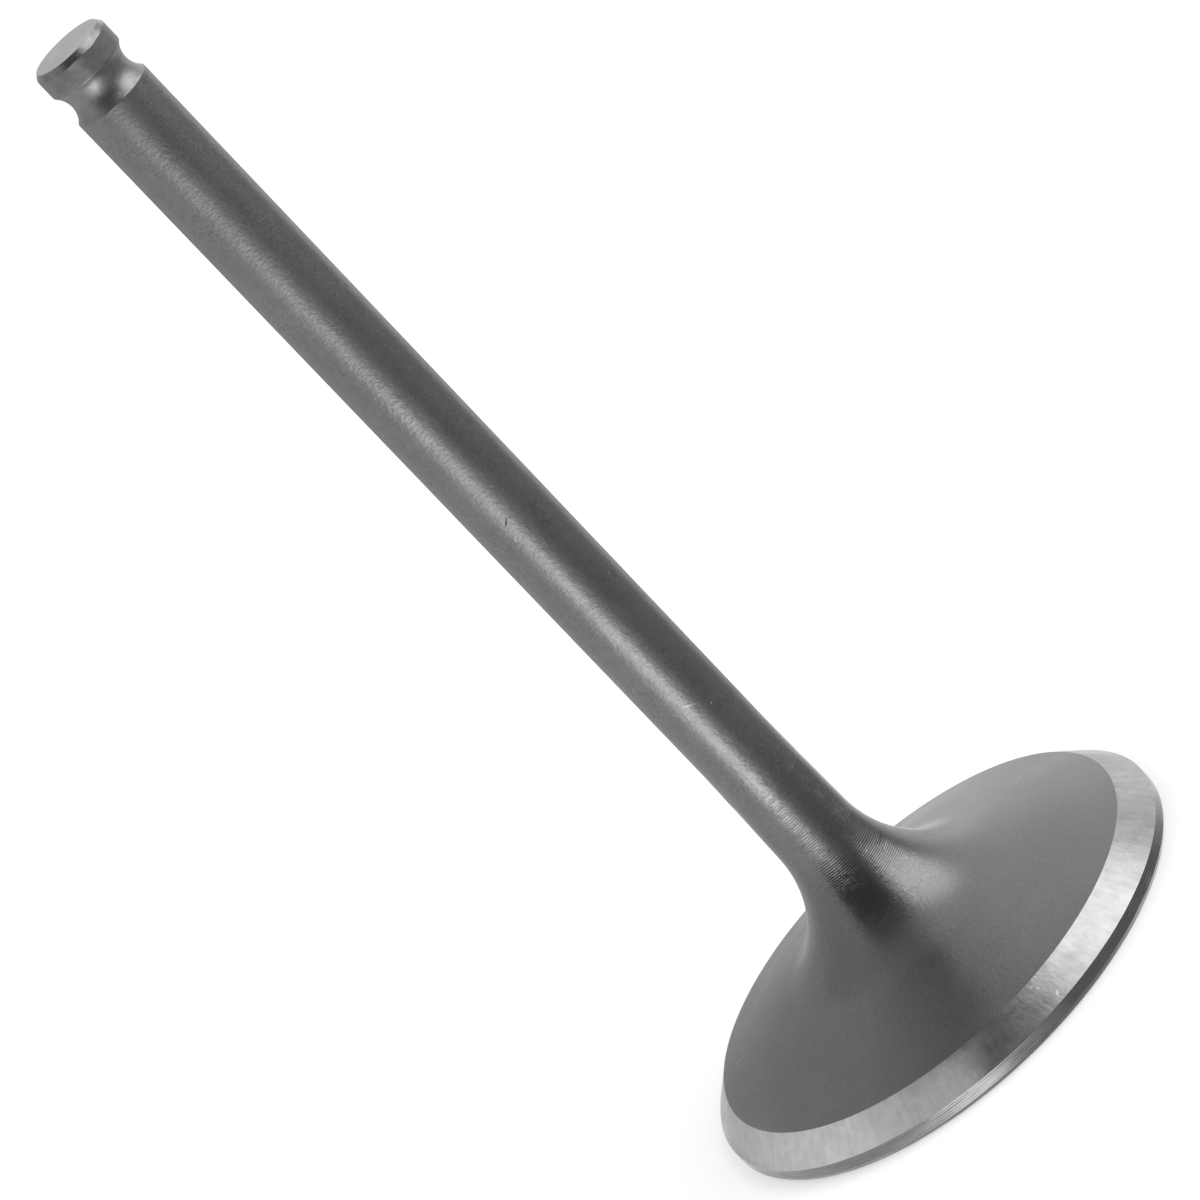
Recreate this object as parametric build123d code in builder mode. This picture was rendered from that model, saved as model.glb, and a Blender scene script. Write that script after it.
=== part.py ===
"""Poppet intake valve of a large two-valve engine: one turned and ground forging, in millimetres.

The valve stands on its combustion face, with its axis on Z and the centre of that face at the origin.
Its half section is drawn in the XZ plane, X being the radius, and is revolved about Z.
"""

import os
from math import cos, radians, sin, sqrt, tan

from build123d import *

# Overall
OVERALL_LENGTH = 125.0  # combustion face to tip face
STEM_DIAMETER = 8.0

# Head, from the combustion face up
HEAD_DIAMETER = 53.8  # over the margin
RIM_CHAMFER_WIDTH = 0.35  # broken edge of the combustion face, measured radially
RIM_CHAMFER_HEIGHT = 0.5
MARGIN_HEIGHT = 1.7  # combustion face to the lower edge of the seat, rim chamfer included
SEAT_ANGLE = 45.0  # from the plane of the head
SEAT_WIDTH = 3.65  # along the slope of the ground face
BACK_ANGLE = 18.8  # tulip back of the head, from the plane of the head

# Neck, between the tulip back and the cylindrical stem
FILLET_RADIUS = 13.2
NECK_TAPER = 1.27  # flare of the neck on each side, from the axis
NECK_LENGTH = 11.3  # tapered stretch from the top of the fillet to the stem

# Keeper groove, one round groove near the tip
GROOVE_RADIUS = 2.4
GROOVE_DEPTH = 0.7
GROOVE_TO_TIP = 4.35  # middle of the groove to the tip face

# Tip
TIP_CHAMFER_WIDTH = 0.4
TIP_CHAMFER_HEIGHT = 0.6

# Radii and heights that follow from the sizes above
stem_radius = STEM_DIAMETER / 2
head_radius = HEAD_DIAMETER / 2
seat_top_radius = head_radius - SEAT_WIDTH * cos(radians(SEAT_ANGLE))
seat_top_height = MARGIN_HEIGHT + SEAT_WIDTH * sin(radians(SEAT_ANGLE))

# The fillet is tangent to the tapered neck at its top and to the conical back at its foot
taper = radians(NECK_TAPER)
back = radians(BACK_ANGLE)
neck_foot_radius = stem_radius + NECK_LENGTH * tan(taper)
fillet_centre_radius = neck_foot_radius + FILLET_RADIUS * cos(taper)
rise_to_centre = FILLET_RADIUS + (seat_top_radius - fillet_centre_radius) * sin(back)
fillet_centre_height = seat_top_height + rise_to_centre / cos(back)
neck_foot_height = fillet_centre_height - FILLET_RADIUS * sin(taper)
neck_top_height = neck_foot_height + NECK_LENGTH

# The groove's arc meets the stem half a chord above and below its middle
groove_height = OVERALL_LENGTH - GROOVE_TO_TIP
groove_half_chord = sqrt(GROOVE_DEPTH * (2 * GROOVE_RADIUS - GROOVE_DEPTH))

with BuildPart() as valve:
    with BuildSketch(Plane.XZ):
        with BuildLine():
            # Combustion face, rim chamfer, margin and seat
            head = Polyline(
                (0, 0),
                (head_radius - RIM_CHAMFER_WIDTH, 0),
                (head_radius, RIM_CHAMFER_HEIGHT),
                (head_radius, MARGIN_HEIGHT),
                (seat_top_radius, seat_top_height),
            )
            # Neck, from the stem down to the fillet, and the fillet from there out to the back
            neck = Line((stem_radius, neck_top_height), (neck_foot_radius, neck_foot_height))
            fillet_arc = JernArc(neck @ 1, neck % 1, FILLET_RADIUS, 90 - NECK_TAPER - BACK_ANGLE)
            tulip_back = Line(fillet_arc @ 1, head @ 1)
            # Stem, keeper groove, end land, tip chamfer and tip face
            stem = Line(neck @ 0, (stem_radius, groove_height - groove_half_chord))
            groove = ThreePointArc(
                stem @ 1,
                (stem_radius - GROOVE_DEPTH, groove_height),
                (stem_radius, groove_height + groove_half_chord),
            )
            tip = Polyline(
                groove @ 1,
                (stem_radius, OVERALL_LENGTH - TIP_CHAMFER_HEIGHT),
                (stem_radius - TIP_CHAMFER_WIDTH, OVERALL_LENGTH),
                (0, OVERALL_LENGTH),
            )
            axis_line = Line(tip @ 1, head @ 0)
        make_face()
    revolve(axis=Axis.Z)

valve.part.label = "valve"

os.makedirs("parts", exist_ok=True)
export_step(valve.part, "parts/valve.step")
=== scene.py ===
"""Poppet intake valve of a large engine, standing on its combustion face: the dressed model and its studio.

Lengths on the valve are in millimetres, and MM turns them into the scene's metres. The studio is in metres.
"""

from math import acos, atan2, cos, pi, radians, sin, sqrt, tan

import bpy
from mathutils import Matrix, Vector, noise


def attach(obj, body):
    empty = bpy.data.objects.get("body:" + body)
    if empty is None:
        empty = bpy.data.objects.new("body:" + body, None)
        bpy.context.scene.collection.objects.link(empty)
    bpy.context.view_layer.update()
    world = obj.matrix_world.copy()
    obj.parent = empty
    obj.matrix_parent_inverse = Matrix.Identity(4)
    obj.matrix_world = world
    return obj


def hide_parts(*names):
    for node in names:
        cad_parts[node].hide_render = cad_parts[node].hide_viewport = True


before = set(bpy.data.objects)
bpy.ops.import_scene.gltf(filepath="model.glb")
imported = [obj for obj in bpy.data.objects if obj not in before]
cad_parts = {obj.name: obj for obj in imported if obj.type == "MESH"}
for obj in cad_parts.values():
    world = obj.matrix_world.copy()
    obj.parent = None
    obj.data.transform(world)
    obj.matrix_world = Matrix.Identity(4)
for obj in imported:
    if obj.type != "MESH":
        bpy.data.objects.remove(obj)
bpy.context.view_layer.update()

MM = 0.001

# ---------------------------------------------------------------- section of the valve, as in the CAD
STEM_RADIUS = 4.0
OVERALL_LENGTH = 125.0
HEAD_RADIUS = 26.9
RIM_CHAMFER = (0.35, 0.5)  # radial width, height
MARGIN_TOP = 1.7
SEAT_WIDTH = 3.65  # along its slope
SEAT_ANGLE = radians(45)
BACK_ANGLE = radians(18.8)
FILLET_RADIUS = 13.2
NECK_TAPER = radians(1.27)
NECK_LENGTH = 11.3
GROOVE_RADIUS = 2.4
GROOVE_DEPTH = 0.7
GROOVE_HEIGHT = OVERALL_LENGTH - 4.35
TIP_CHAMFER = (0.4, 0.6)

# Small rounds that break the edges
FACE_EDGE = 0.10
RIM_EDGE = 0.12
MARGIN_EDGE = 0.06
SEAT_EDGE = 0.08
GROOVE_EDGE = 0.05
LAND_EDGE = 0.22
TIP_EDGE = 0.07

# Angles by which the groove's arc stops short of the rounds on its edges, in radians
GROOVE_EDGE_ROOM = 0.03
LAND_EDGE_ROOM = 0.05

# Line where the ground stem stops and the turned neck begins
FINISH_END = 27.6
FINISH_STEP = (0.012, 0.10)  # depth, height
FINISH_REACH = 0.15  # rings this near to the line wander with it
FINISH_WANDER = 0.22

# Stretch of the tip in which the lower edge of its chamfer wanders, and how fast that fades in and out
DRESSED_FROM = OVERALL_LENGTH - 1.0
DRESSED_TO = OVERALL_LENGTH - 0.14
DRESSED_FADE = (0.3, 0.2)
DRESSED_WAVE = 0.10
DRESSED_RIPPLE = 0.05

# Mesh
SEGMENTS = 288
INNER_FACE_RING = 0.6  # radius
INNER_TIP_RING = 0.25

TOWARD_CAMERA = -90.0  # azimuth of the camera, in degrees; lamps and cards are placed from it

ZONES = (
    "face", "chamfer", "margin", "seat", "back", "neck", "stem", "groove", "land", "tip_chamfer", "tip",
)


# ---------------------------------------------------------------- section to rings
def blend_edge(before, corner, after, radius):
    """A small round on a corner: its start, end and centre, the angles it spans and its outward sign."""
    a = Vector((before[0] - corner[0], before[1] - corner[1])).normalized()
    b = Vector((after[0] - corner[0], after[1] - corner[1])).normalized()
    half = acos(max(-1.0, min(1.0, a.dot(b)))) / 2
    reach = radius / tan(half)
    c = Vector(corner)
    centre = c + (a + b).normalized() * (radius / sin(half))
    p, q = c + a * reach, c + b * reach
    start = atan2(p.y - centre.y, p.x - centre.x)
    end = atan2(q.y - centre.y, q.x - centre.x)
    while end - start > pi:
        end -= 2 * pi
    while end - start < -pi:
        end += 2 * pi
    outward = 1.0 if a.x * b.y - a.y * b.x < 0 else -1.0
    return tuple(p), tuple(q), tuple(centre), (start, end), outward


class Section:
    """Rings of the half section: radius, height, outward normal and the zone that starts there."""

    def __init__(self):
        self.rings = []

    def line(self, start, end, steps, zone, first=True):
        """A straight flank with its own normal from end to end."""
        dr, dz = end[0] - start[0], end[1] - start[1]
        length = sqrt(dr * dr + dz * dz)
        for i in range(0 if first else 1, steps + 1):
            t = i / steps
            self.rings.append((start[0] + dr * t, start[1] + dz * t, dz / length, -dr / length, zone))

    def arc(self, centre, radius, angles, steps, zone, outward=1.0):
        """The inside of an arc; angles are seen from its centre, and outward is -1 in a hollow."""
        start, end = angles
        for i in range(1, steps):
            a = start + (end - start) * i / steps
            place = (centre[0] + radius * cos(a), centre[1] + radius * sin(a))
            self.rings.append((*place, outward * cos(a), outward * sin(a), zone))

    def flank(self, start, corner, after, edge, steps, zones, first=True):
        """A flank and the round at its end, with the steps and zone of each: returns the round's end."""
        low, high, centre, angles, outward = blend_edge(start, corner, after, edge)
        self.line(start, low, steps[0], zones[0], first)
        self.arc(centre, edge, angles, steps[1], zones[1], outward)
        return high


def corners():
    """The sharp corners and tangent points of the section, worked out as the CAD does."""
    seat_top = (HEAD_RADIUS - SEAT_WIDTH * cos(SEAT_ANGLE), MARGIN_TOP + SEAT_WIDTH * sin(SEAT_ANGLE))
    # The fillet is tangent to the tapered neck at its top and to the back at its foot
    neck_foot_r = STEM_RADIUS + NECK_LENGTH * tan(NECK_TAPER)
    centre_r = neck_foot_r + FILLET_RADIUS * cos(NECK_TAPER)
    back_foot_r = centre_r - FILLET_RADIUS * sin(BACK_ANGLE)
    back_foot_z = seat_top[1] + (seat_top[0] - back_foot_r) * tan(BACK_ANGLE)
    centre_z = back_foot_z + FILLET_RADIUS * cos(BACK_ANGLE)
    neck_foot_z = centre_z - FILLET_RADIUS * sin(NECK_TAPER)
    half_chord = sqrt(GROOVE_RADIUS**2 - (GROOVE_RADIUS - GROOVE_DEPTH) ** 2)
    return {
        "rim_low": (HEAD_RADIUS - RIM_CHAMFER[0], 0.0),
        "rim": (HEAD_RADIUS, RIM_CHAMFER[1]),
        "margin_top": (HEAD_RADIUS, MARGIN_TOP),
        "seat_top": seat_top,
        "back_foot": (back_foot_r, back_foot_z),
        "fillet": (centre_r, centre_z),
        "neck_foot": (neck_foot_r, neck_foot_z),
        "neck_top": (STEM_RADIUS, neck_foot_z + NECK_LENGTH),
        "groove_low": (STEM_RADIUS, GROOVE_HEIGHT - half_chord),
        "groove_top": (STEM_RADIUS, GROOVE_HEIGHT + half_chord),
        "groove_centre": (STEM_RADIUS - GROOVE_DEPTH + GROOVE_RADIUS, GROOVE_HEIGHT),
        "land_top": (STEM_RADIUS, OVERALL_LENGTH - TIP_CHAMFER[1]),
        "tip_edge": (STEM_RADIUS - TIP_CHAMFER[0], OVERALL_LENGTH),
    }


def head_rings(s, k):
    """Combustion face, rim chamfer, margin, seat and tulip back."""
    at = (INNER_FACE_RING, 0.0)
    at = s.flank(at, k["rim_low"], k["rim"], FACE_EDGE, (26, 4), ("face", "chamfer"))
    at = s.flank(at, k["rim"], k["margin_top"], RIM_EDGE, (3, 4), ("chamfer", "margin"))
    at = s.flank(at, k["margin_top"], k["seat_top"], MARGIN_EDGE, (6, 4), ("margin", "seat"))
    at = s.flank(at, k["seat_top"], k["back_foot"], SEAT_EDGE, (12, 3), ("seat", "back"))
    s.line(at, k["back_foot"], 24, "back")


def stem_rings(s, k):
    """Fillet, neck and ground stem, up to the keeper groove."""
    s.arc(k["fillet"], FILLET_RADIUS, (-(pi / 2 + BACK_ANGLE), -(pi - NECK_TAPER)), 48, "neck", -1.0)
    finish = (STEM_RADIUS + (k["neck_top"][1] - FINISH_END) * tan(NECK_TAPER), FINISH_END)
    step = (finish[0] - FINISH_STEP[0], finish[1] - FINISH_STEP[1])
    s.line(k["neck_foot"], step, 14, "neck")
    s.line(step, finish, 2, "neck", first=False)
    s.line(finish, k["neck_top"], 5, "stem")
    groove = into_groove(k["groove_low"], k["groove_centre"], -1)
    s.flank(k["neck_top"], k["groove_low"], groove, GROOVE_EDGE, (60, 4), ("stem", "groove"), first=False)


def tip_rings(s, k):
    """Keeper groove, end land, tip chamfer and tip face."""
    centre = k["groove_centre"]
    end = atan2(k["groove_top"][1] - centre[1], k["groove_top"][0] - centre[0])
    angles = (2 * pi - end - GROOVE_EDGE_ROOM, end + LAND_EDGE_ROOM)
    s.arc(centre, GROOVE_RADIUS, angles, 22, "groove", -1.0)
    groove = into_groove(k["groove_top"], centre, 1)
    _, at, edge_centre, angles, outward = blend_edge(groove, k["groove_top"], k["land_top"], LAND_EDGE)
    s.arc(edge_centre, LAND_EDGE, angles, 6, "land", outward)
    at = s.flank(at, k["land_top"], k["tip_edge"], TIP_EDGE, (8, 4), ("land", "tip_chamfer"))
    at = s.flank(at, k["tip_edge"], (0.0, OVERALL_LENGTH), TIP_EDGE, (4, 4), ("tip_chamfer", "tip"))
    s.line(at, (INNER_TIP_RING, OVERALL_LENGTH), 10, "tip")


def into_groove(edge, centre, side):
    """A point on the tangent of the groove's arc at its upper edge, where side is 1, or its lower, -1."""
    radial = Vector((edge[0] - centre[0], edge[1] - centre[1]))
    tangent = Vector((-radial.y, radial.x)).normalized() * side
    return edge[0] + tangent.x, edge[1] + tangent.y


# ---------------------------------------------------------------- rings to the valve
def around(theta, waves, seed):
    """Noise from -1 to 1 that closes on itself round the valve; more waves make it change faster."""
    return noise.noise(Vector((cos(theta) * waves, sin(theta) * waves, seed)))


def uneven(z, theta, zone):
    """Height of a point: the finish line wanders a little, and so does the edge of the tip chamfer."""
    if abs(z - FINISH_END) < FINISH_REACH:
        return z + FINISH_WANDER * around(theta, 1.3, 5.2)
    if zone not in ("tip_chamfer", "land") or z < DRESSED_FROM:
        return z
    fade_in = min(1.0, (z - DRESSED_FROM) / DRESSED_FADE[0])
    fade_out = min(1.0, max(0.0, (DRESSED_TO - z) / DRESSED_FADE[1]))
    wander = DRESSED_WAVE * around(theta, 1.7, 3.1) + DRESSED_RIPPLE * around(theta, 5.0, 7.7)
    return z - fade_in * fade_out * wander


def turned(rings):
    """The rings turned about the axis and closed at both ends: vertices, normals, faces, zones and UVs."""
    run = [0.0]
    for a, b in zip(rings[:-1], rings[1:]):
        run.append(run[-1] + sqrt((b[0] - a[0]) ** 2 + (b[1] - a[1]) ** 2))
    verts, normals, faces, zones, uvs = [], [], [], [], []
    for r, z, out, up, zone in rings:
        for j in range(SEGMENTS):
            theta = 2 * pi * j / SEGMENTS
            verts.append((r * cos(theta) * MM, r * sin(theta) * MM, uneven(z, theta, zone) * MM))
            normals.append((out * cos(theta), out * sin(theta), up))
    for i in range(len(rings) - 1):
        low, high = i * SEGMENTS, (i + 1) * SEGMENTS
        v0, v1 = run[i] / run[-1], run[i + 1] / run[-1]
        for j in range(SEGMENTS):
            n = (j + 1) % SEGMENTS
            faces.append((low + j, low + n, high + n, high + j))
            zones.append(ZONES.index(rings[i][4]))
            u0, u1 = j / SEGMENTS, (j + 1) / SEGMENTS
            uvs += [(u0, v0), (u1, v0), (u1, v1), (u0, v1)]
    bottom, top, last = len(verts), len(verts) + 1, (len(rings) - 1) * SEGMENTS
    verts += [(0.0, 0.0, 0.0), (0.0, 0.0, OVERALL_LENGTH * MM)]
    normals += [(0.0, 0.0, -1.0), (0.0, 0.0, 1.0)]
    for j in range(SEGMENTS):
        n = (j + 1) % SEGMENTS
        faces += [(bottom, n, j), (last + j, last + n, top)]
        zones += [ZONES.index("face"), ZONES.index("tip")]
        uvs += [(j / SEGMENTS, 0.0)] * 3 + [(j / SEGMENTS, 1.0)] * 3
    return verts, normals, faces, zones, uvs


def build_valve(materials):
    """The whole valve as one closed mesh, with exact normals, a UV map and one material a zone."""
    k = corners()
    s = Section()
    head_rings(s, k)
    stem_rings(s, k)
    tip_rings(s, k)
    verts, normals, faces, zones, uvs = turned(s.rings)
    mesh = bpy.data.meshes.new("valve_body")
    mesh.from_pydata(verts, [], faces)
    for zone in ZONES:
        mesh.materials.append(materials[zone])
    mesh.polygons.foreach_set("material_index", zones)
    layer = mesh.uv_layers.new(name="UVMap")
    layer.data.foreach_set("uv", [c for uv in uvs for c in uv])
    mesh.polygons.foreach_set("use_smooth", [True] * len(faces))
    mesh.normals_split_custom_set_from_vertices(normals)
    mesh.update()
    piece = bpy.data.objects.new("valve_body", mesh)
    bpy.context.scene.collection.objects.link(piece)
    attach(piece, "root")
    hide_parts("valve")


# ---------------------------------------------------------------- materials
class Steel:
    """One finish of the steel: a metallic surface with its own grain, tool marks and small flaws."""

    def __init__(self, name, roughness):
        self.material = bpy.data.materials.new(name)
        self.material.use_nodes = True
        self.tree = self.material.node_tree
        self.tree.nodes.clear()
        self.shader = self.node("ShaderNodeBsdfPrincipled")
        self.shader.inputs["Metallic"].default_value = 1.0
        self.shader.inputs["Roughness"].default_value = roughness
        self.link(self.shader.outputs[0], self.node("ShaderNodeOutputMaterial").inputs[0])
        self.coords = self.node("ShaderNodeTexCoord").outputs["Object"]
        self.relief = None

    def node(self, kind, **settings):
        """A new node with its settings."""
        n = self.tree.nodes.new(kind)
        for key, value in settings.items():
            setattr(n, key, value)
        return n

    def link(self, a, b):
        """Joins two sockets."""
        self.tree.links.new(a, b)

    def math(self, operation, a, b=0.0):
        """A math node on two sockets or numbers."""
        n = self.node("ShaderNodeMath", operation=operation)
        for socket, value in zip(n.inputs, (a, b)):
            if isinstance(value, (int, float)):
                socket.default_value = value
            else:
                self.link(value, socket)
        return n.outputs[0]

    def add(self, a, b):
        """Sum of two sockets or numbers."""
        return self.math("ADD", a, b)

    def times(self, a, b):
        """Product of two sockets or numbers."""
        return self.math("MULTIPLY", a, b)

    def blend(self, factor, a, b):
        """Mixes two sockets or numbers by a factor."""
        return self.add(self.times(self.math("SUBTRACT", 1.0, factor), a), self.times(factor, b))

    def span(self, value, low, high, to_low=0.0, to_high=1.0):
        """Maps a range of a socket onto another, clamped."""
        n = self.node("ShaderNodeMapRange", clamp=True)
        self.link(value, n.inputs["Value"])
        for name, number in zip(("From Min", "From Max", "To Min", "To Max"), (low, high, to_low, to_high)):
            n.inputs[name].default_value = number
        return n.outputs[0]

    def spread(self, value, low, high, half=0.2):
        """Spreads the middle of a noise over a range; a smaller half makes its patches crisper."""
        return self.span(value, 0.5 - half, 0.5 + half, low, high)

    def split(self):
        """Object coordinates, one socket an axis."""
        n = self.node("ShaderNodeSeparateXYZ")
        self.link(self.coords, n.inputs[0])
        return n.outputs

    def height(self):
        """Height above the combustion face, in millimetres."""
        return self.times(self.split()[2], 1 / MM)

    def radius(self):
        """Distance from the axis, in millimetres."""
        flat = self.node("ShaderNodeVectorMath", operation="MULTIPLY")
        flat.inputs[1].default_value = (1 / MM, 1 / MM, 0.0)
        self.link(self.coords, flat.inputs[0])
        length = self.node("ShaderNodeVectorMath", operation="LENGTH")
        self.link(flat.outputs[0], length.inputs[0])
        return length.outputs["Value"]

    def noise(self, place, detail, rough):
        """Noise from 0 to 1 at a place."""
        n = self.node("ShaderNodeTexNoise")
        for name, number in (("Scale", 1.0), ("Detail", detail), ("Roughness", rough)):
            n.inputs[name].default_value = number
        self.link(place, n.inputs["Vector"])
        return n.outputs[0]

    def cloud(self, across, along, detail=3.0, rough=0.55, shift=0.0):
        """Noise with its grain in cycles a millimetre across and along the axis."""
        m = self.node("ShaderNodeMapping")
        m.inputs["Scale"].default_value = (across / MM, across / MM, along / MM)
        m.inputs["Location"].default_value = (shift, shift * 0.7, shift * 1.3)
        self.link(self.coords, m.inputs["Vector"])
        return self.noise(m.outputs[0], detail, rough)

    def streaks(self, per_mm):
        """Streaks across the seat: noise by the distance round the rim, drawn out along the flank."""
        x, y, _ = self.split()
        place = self.node("ShaderNodeCombineXYZ")
        self.link(self.times(self.math("ARCTAN2", y, x), HEAD_RADIUS * per_mm), place.inputs[0])
        self.link(self.times(self.height(), 0.25 * per_mm), place.inputs[1])
        return self.noise(place.outputs[0], 3.0, 0.5)

    def lathe(self, along, pitch, wander=0.25):
        """Rings left by the tool: a ridge each pitch along a coordinate, uneven from ring to ring."""
        drift = self.times(self.math("SUBTRACT", self.cloud(0.05, 0.5, 1.0), 0.5), wander)
        turns = self.math("DIVIDE", self.add(along, drift), pitch)
        wave = self.math("SINE", self.times(turns, 2 * pi))
        return self.add(self.times(wave, 0.5), 0.5)

    def tone(self, value):
        """Sets the reflectance, a grey between 0 and 1, from a socket."""
        n = self.node("ShaderNodeCombineColor")
        for channel in range(3):
            self.link(value, n.inputs[channel])
        self.link(n.outputs[0], self.shader.inputs["Base Color"])

    def rough(self, value):
        """Sets the roughness from a socket."""
        self.link(value, self.shader.inputs["Roughness"])

    def bump(self, height, depth):
        """Adds relief: the height is 0 to 1, the depth in millimetres."""
        n = self.node("ShaderNodeBump")
        n.inputs["Strength"].default_value = 1.0
        n.inputs["Distance"].default_value = depth * MM
        self.link(height, n.inputs["Height"])
        if self.relief is not None:
            self.link(self.relief, n.inputs["Normal"])
        self.relief = n.outputs[0]
        self.link(self.relief, self.shader.inputs["Normal"])


# Nicks and specks: height and azimuth, half length and half width, turn from level, and tone
NICKS = {
    "stem": (
        (65.2, -102.8, 0.52, 0.11, 48, 0.12),
        (63.3, -109.9, 0.34, 0.09, 55, 0.46),
        (68.7, -84.0, 0.15, 0.10, 10, 0.50),
        (54.3, -46.4, 0.12, 0.11, 0, 0.60),
        (38.2, -70.4, 0.12, 0.11, 0, 0.80),
        (96.8, -68.4, 0.12, 0.10, 20, 0.45),
        (92.1, -34.3, 0.15, 0.09, 60, 0.55),
        (39.6, -95.5, 0.70, 0.10, -28, 0.48),
        (84.0, 71.0, 0.40, 0.08, 35, 0.48),
        (51.5, 140.0, 0.55, 0.09, -20, 0.50),
        (73.0, -170.0, 0.12, 0.10, 0, 0.55),
        (28.0, -117.0, 0.16, 0.12, 0, 0.18),
    ),
    "neck": (
        (27.2, -107.0, 0.60, 0.10, 6, 0.36),
        (16.6, -61.6, 0.42, 0.08, 20, 0.38),
        (15.9, -64.0, 0.36, 0.10, 20, 0.17),
        (15.3, -41.0, 0.90, 0.10, 4, 0.34),
        (15.9, -38.0, 0.80, 0.12, 4, 0.16),
        (5.2, 163.3, 0.40, 0.08, 40, 0.34),
        (5.9, 22.0, 0.45, 0.08, -35, 0.34),
    ),
    "seat": (
        (3.9, -79.5, 0.12, 0.10, 0, 0.85),
        (3.5, -78.7, 0.12, 0.11, 0, 0.85),
        (2.3, -77.0, 0.30, 0.10, 30, 0.80),
        (2.9, 96.0, 0.28, 0.09, 30, 0.75),
    ),
}
NICK_DEPTH = 1.5  # a nick marks the surface only this near to its own place


def radius_at(height):
    """Radius of the section at a height, by its straight flanks and its fillet."""
    k = corners()
    if height > k["neck_top"][1]:
        return STEM_RADIUS
    if height > k["neck_foot"][1]:
        return STEM_RADIUS + (k["neck_top"][1] - height) * tan(NECK_TAPER)
    if height > k["back_foot"][1]:
        rise = k["fillet"][1] - height
        return k["fillet"][0] - sqrt(FILLET_RADIUS**2 - rise**2)
    if height > k["seat_top"][1]:
        return k["seat_top"][0] - (height - k["seat_top"][1]) / tan(BACK_ANGLE)
    return HEAD_RADIUS - (height - MARGIN_TOP) / tan(SEAT_ANGLE)


def nick_mask(steel, height, azimuth, length, width, turn):
    """1 inside a small ragged ellipse on the surface, 0 outside it."""
    r, a, lean = radius_at(height), radians(azimuth), radians(turn)
    outward = Vector((cos(a), sin(a), 0.0))
    level = Vector((-sin(a), cos(a), 0.0))
    upward = Vector((0.0, 0.0, 1.0))
    away = steel.node("ShaderNodeVectorMath", operation="SUBTRACT")
    away.inputs[1].default_value = Vector((r * cos(a), r * sin(a), height)) * MM
    steel.link(steel.coords, away.inputs[0])

    def reach(way, half):
        """Distance from the nick's centre along a way, in halves."""
        dot = steel.node("ShaderNodeVectorMath", operation="DOT_PRODUCT")
        dot.inputs[1].default_value = way / (half * MM)
        steel.link(away.outputs[0], dot.inputs[0])
        return steel.math("ABSOLUTE", dot.outputs["Value"])

    long_way = reach(level * cos(lean) + upward * sin(lean), length)
    short_way = reach(upward * cos(lean) - level * sin(lean), width)
    near = steel.math("LESS_THAN", reach(outward, NICK_DEPTH), 1.0)
    ragged = steel.times(steel.cloud(5.0, 5.0, 2.0, shift=height), 0.9)
    ellipse = steel.add(steel.math("POWER", long_way, 2.0), steel.math("POWER", short_way, 2.0))
    return steel.times(steel.span(steel.add(ellipse, ragged), 1.55, 1.0), near)


def with_nicks(steel, zone, tone):
    """Lays the small marks of a zone over its tone."""
    for *shape, level in NICKS[zone]:
        tone = steel.blend(nick_mask(steel, *shape), tone, level)
    return tone


def ground_stem():
    """The stem: centreless ground and nitrided, dark and matt, with a fine grain."""
    s = Steel("ground_stem", 0.40)
    base = s.spread(s.cloud(0.12, 0.05), 0.275, 0.325)
    patchy = s.spread(s.cloud(0.25, 0.15, 2.0, shift=7.0), 0.35, 1.0, half=0.15)
    fine = s.times(s.spread(s.cloud(3.6, 3.6, 2.0, 0.65), -0.055, 0.055), patchy)
    coarse = s.spread(s.cloud(0.9, 0.9, 3.0, 0.6, shift=3.0), -0.018, 0.018)
    worn = s.spread(s.cloud(0.8, 0.8), 0.2, 1.0, half=0.15)
    finish_band = s.times(s.span(s.height(), FINISH_END + 4.0, FINISH_END + 0.8), worn)
    tone = s.add(s.add(base, s.add(fine, coarse)), s.times(finish_band, 0.012))
    s.tone(with_nicks(s, "stem", tone))
    s.rough(s.math("SUBTRACT", s.spread(s.cloud(0.35, 0.15), 0.30, 0.37), s.times(finish_band, 0.10)))
    s.bump(s.cloud(2.6, 3.0, 1.5, 0.6), 0.029)
    s.bump(s.cloud(0.7, 14.0, 4.0, 0.7), 0.006)
    return s.material


def turned_body():
    """Neck, fillet and tulip back: turned, with rings on the neck that fade into a satin back."""
    s = Steel("turned_body", 0.36)
    z = s.height()
    base = s.spread(s.cloud(0.07, 0.07), 0.232, 0.262)
    grain = s.spread(s.cloud(3.2, 3.2, 2.0, 0.65), -0.022, 0.022)
    blurred_height = s.add(z, s.spread(s.cloud(0.5, 0.3), -3.0, 3.0))
    toward_stem = s.span(blurred_height, 17.0, FINISH_END, 0.0, 0.032)
    s.tone(with_nicks(s, "neck", s.add(s.add(base, grain), toward_stem)))
    smoother_neck = s.times(s.span(z, 7.5, 13.0), -0.09)
    s.rough(s.add(s.spread(s.cloud(0.2, 0.5), 0.28, 0.34), smoother_neck))
    along = s.math("SUBTRACT", z, s.times(s.radius(), 0.9))
    strength = s.times(s.spread(s.cloud(1.2, 1.8, 3.0, 0.65), 0.25, 1.0), s.span(z, 9.0, 12.0))
    s.bump(s.times(s.lathe(along, 0.28), strength), 0.017)
    s.bump(s.cloud(2.8, 2.8, 1.5, 0.6), 0.014)
    s.bump(s.cloud(0.3, 12.0, 4.0, 0.7), 0.004)
    return s.material


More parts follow.
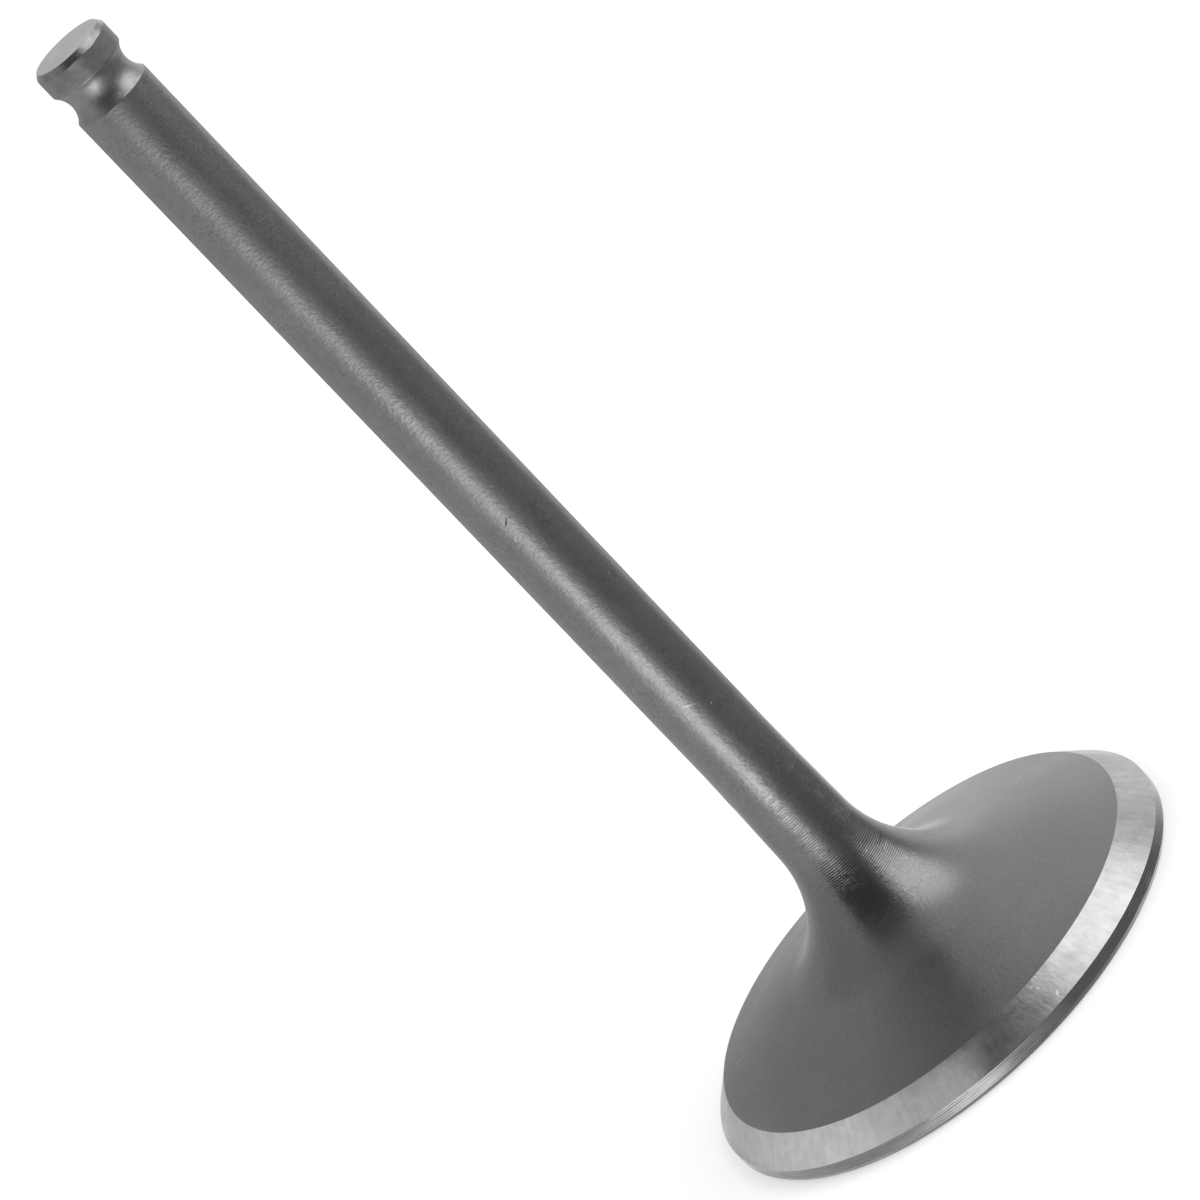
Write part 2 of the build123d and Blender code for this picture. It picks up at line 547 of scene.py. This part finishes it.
def ground_seat():
    """Seat: ground bright, mottled where the wheel left off, with a few bright specks."""
    s = Steel("ground_seat", 0.33)
    mottle = s.spread(s.cloud(0.9, 0.9, 5.0, 0.75), 0.465, 0.545, half=0.15)
    streaks = s.spread(s.streaks(1.4), -0.04, 0.04)
    s.tone(with_nicks(s, "seat", s.add(mottle, streaks)))
    s.rough(s.spread(s.cloud(0.5, 0.5, 4.0), 0.25, 0.36, half=0.15))
    s.bump(s.cloud(2.4, 2.4, 3.0, 0.65), 0.016)
    s.bump(s.streaks(1.1), 0.014)
    s.bump(s.cloud(0.8, 8.0, 3.0, 0.6), 0.005)
    return s.material


def turned_margin(name, pitch, tone):
    """Margin and rim: turned, with coarse tool rings."""
    s = Steel(name, 0.32)
    rings = s.times(s.lathe(s.height(), pitch, 0.4), s.spread(s.cloud(0.25, 1.5, 2.0), 0.2, 1.0))
    s.tone(s.add(s.spread(s.cloud(0.4, 4.0), *tone), s.times(rings, -0.15)))
    s.rough(s.spread(s.cloud(0.5, 3.0), 0.26, 0.34))
    s.bump(rings, 0.028)
    s.bump(s.cloud(1.5, 6.0, 3.0, 0.6), 0.010)
    return s.material


def faced(name, tone, pitch, depth):
    """A face turned square to the axis, with fine rings about its centre."""
    s = Steel(name, 0.32)
    fine = s.spread(s.cloud(2.5, 2.5), -0.03, 0.03)
    s.tone(s.add(s.spread(s.cloud(0.3, 0.3, 4.0), *tone), fine))
    s.rough(s.spread(s.cloud(0.5, 0.5), 0.28, 0.38))
    s.bump(s.lathe(s.radius(), pitch), depth)
    s.bump(s.cloud(3.0, 3.0, 4.0, 0.7), 0.006)
    return s.material


def dressed(name, tone, roughness, grain):
    """A small surface of the tip end, ground and handled."""
    s = Steel(name, roughness)
    base = s.spread(s.cloud(0.7, 0.7, 4.0, 0.65), *tone, half=0.15)
    s.tone(s.add(base, s.spread(s.cloud(3.0, 3.0, 2.0), -0.02, 0.02)))
    s.rough(s.spread(s.cloud(1.2, 1.2), roughness - 0.05, roughness + 0.06))
    s.bump(s.cloud(1.3, 1.3, 3.0, 0.6), 3.0 * grain)
    s.bump(s.cloud(1.0, 10.0, 4.0, 0.7), grain)
    return s.material


def all_materials():
    """The finish of every zone."""
    body = turned_body()
    return {
        "face": faced("faced_bottom", tone=(0.34, 0.44), pitch=0.28, depth=0.004),
        "chamfer": turned_margin("broken_rim", pitch=0.15, tone=(0.30, 0.38)),
        "margin": turned_margin("turned_margin", pitch=0.27, tone=(0.38, 0.46)),
        "seat": ground_seat(),
        "back": body,
        "neck": body,
        "stem": ground_stem(),
        "groove": dressed("turned_groove", tone=(0.31, 0.38), roughness=0.36, grain=0.010),
        "land": dressed("ground_land", tone=(0.27, 0.37), roughness=0.40, grain=0.009),
        "tip_chamfer": dressed("tip_chamfer", tone=(0.25, 0.39), roughness=0.30, grain=0.009),
        "tip": faced("ground_tip", tone=(0.54, 0.61), pitch=0.12, depth=0.002),
    }


# ---------------------------------------------------------------- camera, world and floor
CAMERA_AT = Vector((0.0, -0.52647, 0.24455))
CAMERA_TO = Vector((0.000424, 0.0, 0.051888))
CAMERA_ROLL = -0.762
CAMERA_LENS = 179.87
SENSOR_WIDTH = 36.0

WORLD_LEVEL = 0.50  # what the world lends to surfaces that don't see it directly
FLOOR_COLOUR = (0.8, 0.8, 0.8, 1.0)
FLOOR_GLOW = (0.43, 0.75)  # near and far, where less light falls on it
FLOOR_GLOW_AT = (0.3, 1.6)
FLOOR_HALF = 3.0
FLOOR_DROP = 0.00002  # keeps it clear of the combustion face
WHITE = (1.0, 1.0, 1.0, 1.0)


def make_camera():
    """The camera, rolled so that the valve leans across the frame."""
    forward = (CAMERA_TO - CAMERA_AT).normalized()
    right = forward.cross(Vector((0.0, 0.0, 1.0))).normalized()
    up = right.cross(forward)
    right_r = cos(CAMERA_ROLL) * right + sin(CAMERA_ROLL) * up
    up_r = -sin(CAMERA_ROLL) * right + cos(CAMERA_ROLL) * up
    data = bpy.data.cameras.new("camera")
    data.lens = CAMERA_LENS
    data.sensor_width = SENSOR_WIDTH
    data.clip_start = 0.01
    data.clip_end = 20.0
    cam = bpy.data.objects.new("camera", data)
    axes = Matrix((right_r, up_r, -forward)).transposed()
    cam.matrix_world = Matrix.Translation(CAMERA_AT) @ axes.to_4x4()
    bpy.context.scene.collection.objects.link(cam)
    bpy.context.scene.camera = cam


def seen_directly(tree):
    """1 for camera, glossy and transmission rays, 0 for the rest."""
    path = tree.nodes.new("ShaderNodeLightPath")
    seen = path.outputs["Is Camera Ray"]
    for ray in ("Is Glossy Ray", "Is Transmission Ray"):
        either = tree.nodes.new("ShaderNodeMath")
        either.operation = "MAXIMUM"
        tree.links.new(seen, either.inputs[0])
        tree.links.new(path.outputs[ray], either.inputs[1])
        seen = either.outputs[0]
    return seen


def show(tree, output, unseen, seen):
    """Sends one shader to rays that see it directly and another to the rest."""
    out = tree.nodes.new(output)
    mix = tree.nodes.new("ShaderNodeMixShader")
    tree.links.new(seen_directly(tree), mix.inputs[0])
    tree.links.new(unseen.outputs[0], mix.inputs[1])
    tree.links.new(seen.outputs[0], mix.inputs[2])
    tree.links.new(mix.outputs[0], out.inputs[0])


def make_world():
    """White behind everything, and a plain even light for the rest."""
    world = bpy.data.worlds.new("studio")
    bpy.context.scene.world = world
    world.use_nodes = True
    world.cycles.sampling_method = "NONE"
    tree = world.node_tree
    tree.nodes.clear()
    plain, white = tree.nodes.new("ShaderNodeBackground"), tree.nodes.new("ShaderNodeBackground")
    for background, level in ((plain, WORLD_LEVEL), (white, 1.0)):
        background.inputs["Color"].default_value = WHITE
        background.inputs["Strength"].default_value = level
    show(tree, "ShaderNodeOutputWorld", plain, white)


def floor_material():
    """A pale floor that keeps the valve's shadow, and glows a little so that it shows white."""
    mat = bpy.data.materials.new("floor_white")
    mat.use_nodes = True
    mat.cycles.emission_sampling = "NONE"
    tree = mat.node_tree
    tree.nodes.clear()
    plain = tree.nodes.new("ShaderNodeBsdfDiffuse")
    plain.inputs["Color"].default_value = FLOOR_COLOUR
    place = tree.nodes.new("ShaderNodeTexCoord")
    reach = tree.nodes.new("ShaderNodeVectorMath")
    reach.operation = "LENGTH"
    tree.links.new(place.outputs["Object"], reach.inputs[0])
    fade = tree.nodes.new("ShaderNodeMapRange")
    for name, number in zip(("From Min", "From Max", "To Min", "To Max"), FLOOR_GLOW_AT + FLOOR_GLOW):
        fade.inputs[name].default_value = number
    tree.links.new(reach.outputs["Value"], fade.inputs["Value"])
    glow = tree.nodes.new("ShaderNodeEmission")
    glow.inputs["Color"].default_value = WHITE
    tree.links.new(fade.outputs[0], glow.inputs["Strength"])
    both = tree.nodes.new("ShaderNodeAddShader")
    tree.links.new(plain.outputs[0], both.inputs[0])
    tree.links.new(glow.outputs[0], both.inputs[1])
    show(tree, "ShaderNodeOutputMaterial", plain, both)
    return mat


def make_floor():
    """The floor under the valve."""
    h = FLOOR_HALF
    mesh = bpy.data.meshes.new("floor")
    mesh.from_pydata([(-h, -h, 0), (h, -h, 0), (h, h, 0), (-h, h, 0)], [], [(0, 1, 2, 3)])
    mesh.materials.append(floor_material())
    floor = bpy.data.objects.new("floor", mesh)
    floor.location.z = -FLOOR_DROP
    bpy.context.scene.collection.objects.link(floor)


# ---------------------------------------------------------------- lamps and cards
LAMP_AIM = Vector((0.0, 0.0, 0.05))
HOUSING_GAP = 0.02  # a black card this far behind a lamp stops the rays that go on through its face


def softbox(name, azimuth, elevation, distance, width, height, level):
    """An area lamp aimed at the valve; the level is how bright its face looks, 1 being white."""
    data = bpy.data.lights.new(name, "AREA")
    data.shape = "RECTANGLE"
    data.size = width
    data.size_y = height
    data.energy = level * pi * width * height
    a, e = radians(TOWARD_CAMERA + azimuth), radians(elevation)
    away = Vector((cos(a) * cos(e), sin(a) * cos(e), sin(e)))
    lamp = bpy.data.objects.new(name, data)
    lamp.location = LAMP_AIM + away * distance
    lamp.rotation_euler = away.to_track_quat("Z", "Y").to_euler()
    lamp.visible_camera = False
    bpy.context.scene.collection.objects.link(lamp)
    turn = lamp.rotation_euler.to_matrix()
    across, down = turn @ Vector((width / 2, 0.0, 0.0)), turn @ Vector((0.0, height / 2, 0.0))
    back = lamp.location + away * HOUSING_GAP
    ends = [back - across - down, back + across - down, back + across + down, back - across + down]
    card(name + "_housing", ends, [(0, 1, 2, 3)], [0.0] * 4)


def card_material():
    """The face of every card: it glows by the level painted on it."""
    mat = bpy.data.materials.new("card")
    mat.use_nodes = True
    mat.cycles.emission_sampling = "NONE"
    tree = mat.node_tree
    tree.nodes.clear()
    out = tree.nodes.new("ShaderNodeOutputMaterial")
    glow = tree.nodes.new("ShaderNodeEmission")
    level = tree.nodes.new("ShaderNodeAttribute")
    level.attribute_name = "level"
    tree.links.new(level.outputs["Fac"], glow.inputs["Strength"])
    tree.links.new(glow.outputs[0], out.inputs[0])
    return mat


def card(name, verts, faces, levels):
    """Puts up a reflector or flag that only reflections see; it lights nothing and throws no shadow."""
    mesh = bpy.data.meshes.new(name)
    mesh.from_pydata(verts, [], faces)
    painted = mesh.attributes.new("level", "FLOAT", "POINT")
    painted.data.foreach_set("value", levels)
    mesh.materials.append(bpy.data.materials.get("card") or card_material())
    obj = bpy.data.objects.new(name, mesh)
    bpy.context.scene.collection.objects.link(obj)
    obj.visible_camera = False
    obj.visible_diffuse = False
    obj.visible_transmission = False
    obj.visible_volume_scatter = False
    obj.visible_shadow = False


def graded(stops, at):
    """The level at an azimuth between two stops."""
    for (a, low), (b, high) in zip(stops[:-1], stops[1:]):
        if a <= at <= b:
            return low + (high - low) * (at - a) / (b - a)
    return stops[-1][1]


def between(one, other, t):
    """Stops part of the way from one list of stops to another."""
    azimuths = sorted({a for a, _ in one} | {a for a, _ in other})
    return [(a, graded(one, a) * (1 - t) + graded(other, a) * t) for a in azimuths]


def swept(name, rows):
    """A card of rings about the valve: each row is a radius, a height and its stops by azimuth."""
    azimuths = range(rows[0][2][0][0], rows[0][2][-1][0] + 1)
    cols = len(azimuths)
    verts, levels, faces = [], [], []
    for radius, height, stops in rows:
        for azimuth in azimuths:
            a = radians(TOWARD_CAMERA + azimuth)
            verts.append((radius * cos(a), radius * sin(a), height))
            levels.append(graded(stops, azimuth))
    for j in range(len(rows) - 1):
        for i in range(cols - 1):
            k = j * cols + i
            faces.append((k, k + 1, k + cols + 1, k + cols))
    card(name, verts, faces, levels)


def lying(height, *rings):
    """Rows of a card that lies flat: each ring is a radius and its stops."""
    return [(radius, height, stops) for radius, stops in rings]


def dome(name, radius, bands, steps=4):
    """A dome of graded card: each band is an elevation and its stops by azimuth."""
    rows = []
    for (low, below), (high, above) in zip(bands[:-1], bands[1:]):
        for n in range(steps + 1):
            t = n / steps
            e = radians(low + (high - low) * t)
            rows.append((radius * cos(e), radius * sin(e), between(below, above, t)))
    swept(name, rows)


# What stands round the valve: level by azimuth from the camera, 1 being white. First what lies on the floor
BY_THE_CONTACT = (
    (-180, 1), (-120, 0.8), (-20, 0.75), (-5, 0.60), (5, 0.38), (20, 0.42), (30, 0.65), (45, 1.1),
    (60, 1.3), (180, 1.3),
)
BY_THE_RIM = (
    (-180, 0.92), (-95, 0.96), (-80, 0.84), (-60, 0.60), (-40, 0.50), (-28, 0.72), (-17, 1.6), (-9, 1.42),
    (0, 0.54), (9, 0.33), (15, 0.19), (45, 0.17), (58, 0.20), (66, 0.35), (74, 0.65), (82, 1),
    (130, 1.05), (150, 1.3), (170, 1.65), (180, 1.65),
)
NEAR = (
    (-180, 0.70), (-172, 0.62), (-160, 0.58), (-150, 0.50), (-138, 0.56), (-60, 0.56), (-55, 0.64),
    (-42, 1.0), (-25, 1.1), (-12, 0.9), (-3, 0.32), (10, 0.20), (30, 0.24), (70, 0.25), (80, 0.30),
    (112, 0.30), (130, 0.50), (145, 0.80), (155, 0.82), (164, 1.05), (172, 0.95), (180, 0.70),
)
BY_THE_NECK = (
    (-180, 0.68), (-172, 0.72), (-160, 0.78), (-150, 0.58), (-143, 0.64), (-120, 0.62), (-58, 0.62),
    (-54, 0.70), (-42, 1.30), (-33, 2.4), (-17, 2.5), (-9, 0.95), (-2, 0.56), (12, 0.40), (27, 0.25),
    (60, 0.25), (75, 0.30), (115, 0.30), (134, 0.60), (147, 0.80), (156, 0.85), (166, 0.95),
    (173, 0.80), (180, 0.65),
)
MIDDLE = (
    (-180, 0.75), (-165, 0.55), (-155, 0.52), (-143, 0.66), (-120, 0.60), (-58, 0.58), (-54, 0.64),
    (-42, 1.16), (-33, 2.3), (-17, 2.55), (-9, 0.9), (-2, 0.54), (12, 0.38), (27, 0.19), (60, 0.16),
    (75, 0.22), (115, 0.25), (134, 0.66), (147, 0.70), (156, 0.40), (166, 0.65), (180, 0.78),
)
FAR = (
    (-180, 0.60), (-165, 0.18), (-155, 0.38), (-143, 0.56), (-120, 0.55), (-60, 0.57), (-46, 0.60),
    (-35, 0.78), (-16, 0.76), (-2, 0.48), (20, 0.33), (32, 0.24), (60, 0.26), (78, 0.31), (115, 0.31),
    (134, 0.80), (147, 0.80), (156, 0.48), (166, 0.60), (180, 0.75),
)
# A low strip beside the seat
BY_THE_SEAT = (
    (-104, 0.66), (-90, 0.70), (-75, 0.85), (-50, 0.90), (-36, 0.74), (-26, 0.66), (-16, 0.70),
    (-12, 0.48), (-9, 0.1),
)
# The dome, from its foot up
HORIZON = (
    (-180, 0.90), (-173, 0.62), (-150, 0.56), (-130, 0.54), (-62, 0.50), (-58, 0.46), (-55, 0.16),
    (20, 0.20), (36, 0.22), (50, 0.48), (66, 0.58), (100, 0.58), (110, 0.38), (120, 0.42), (130, 0.85),
    (150, 1.08), (172, 1.10), (180, 0.90),
)
LOW = (
    (-180, 0.80), (-172, 0.54), (-150, 0.49), (-62, 0.46), (-58, 0.43), (-55, 0.10), (20, 0.12),
    (38, 0.24), (48, 0.55), (58, 0.66), (104, 0.66), (110, 0.42), (122, 0.50), (134, 0.88), (155, 1.00),
    (172, 1.00), (180, 0.80),
)
MIDDLE_HIGH = (
    (-180, 0.45), (-160, 0.52), (-150, 0.47), (-62, 0.42), (-58, 0.38), (-55, 0.09), (22, 0.10),
    (34, 0.30), (42, 0.95), (106, 0.95), (114, 0.78), (150, 0.76), (168, 0.80), (174, 0.55), (180, 0.45),
)
HIGH = (
    (-180, 0.03), (-176, 0.05), (-172, 0.20), (-163, 0.45), (-120, 0.40), (-66, 0.36), (-57, 0.16),
    (-48, 0.11), (6, 0.10), (26, 0.13), (42, 0.45), (54, 0.90), (110, 0.78), (150, 0.68), (164, 0.86),
    (169, 0.76), (173, 0.25), (176, 0.03), (180, 0.03),
)
HIGHER = (
    (-180, 0.20), (-165, 0.24), (-155, 0.36), (-90, 0.33), (-60, 0.26), (20, 0.22), (45, 0.40),
    (66, 0.62), (150, 0.65), (163, 0.60), (172, 0.22), (180, 0.20),
)
TOP = ((-180, 0.26), (180, 0.26))
DOME_RADIUS = 1.05
DOME_BANDS = (
    (0, HORIZON), (12, LOW), (20, LOW), (32, MIDDLE_HIGH), (40, MIDDLE_HIGH), (54, HIGH), (64, HIGH),
    (76, HIGHER), (89, TOP),
)

# Heights of the cards on the floor, and of the strip beside the seat
CONTACT_HEIGHT = 0.00004
RIM_HEIGHT = 0.0002
NEAR_HEIGHT = 0.0003
WIDE_HEIGHT = 0.0004
SEAT_STRIP_RADIUS = 0.029
SEAT_STRIP = (0.0026, 0.0124)


def make_cards():
    """The cards that shape what the steel reflects."""
    dome("card_dome", DOME_RADIUS, DOME_BANDS)
    swept("card_rim", lying(RIM_HEIGHT, (0.0271, BY_THE_RIM), (0.036, BY_THE_RIM), (0.040, NEAR)))
    close = lying(NEAR_HEIGHT, (0.040, NEAR), (0.054, NEAR), (0.064, BY_THE_NECK))
    swept("card_near", close + lying(WIDE_HEIGHT, (0.082, BY_THE_NECK), (0.094, MIDDLE)))
    outer = [(0.094, MIDDLE), (0.12, MIDDLE), (0.17, between(MIDDLE, FAR, 0.35))]
    outer += [(0.25, between(MIDDLE, FAR, 0.65)), (0.36, FAR), (1.04, FAR)]
    swept("card_middle", lying(WIDE_HEIGHT, *outer))
    swept("card_contact", lying(CONTACT_HEIGHT, (0.02662, BY_THE_CONTACT), (0.0271, BY_THE_CONTACT)))
    swept("card_by_the_seat", [(SEAT_STRIP_RADIUS, height, BY_THE_SEAT) for height in SEAT_STRIP])


def make_studio():
    """World, floor, lamps and cards."""
    make_world()
    make_floor()
    softbox("softbox_right", azimuth=76, elevation=39, distance=0.85, width=0.82, height=0.74, level=1.75)
    softbox("softbox_left", azimuth=-110, elevation=40, distance=0.85, width=1.10, height=0.72, level=0.45)
    make_cards()


def main():
    """Builds everything."""
    bpy.context.scene.view_settings.view_transform = "Standard"
    make_camera()
    make_studio()
    build_valve(all_materials())


main()
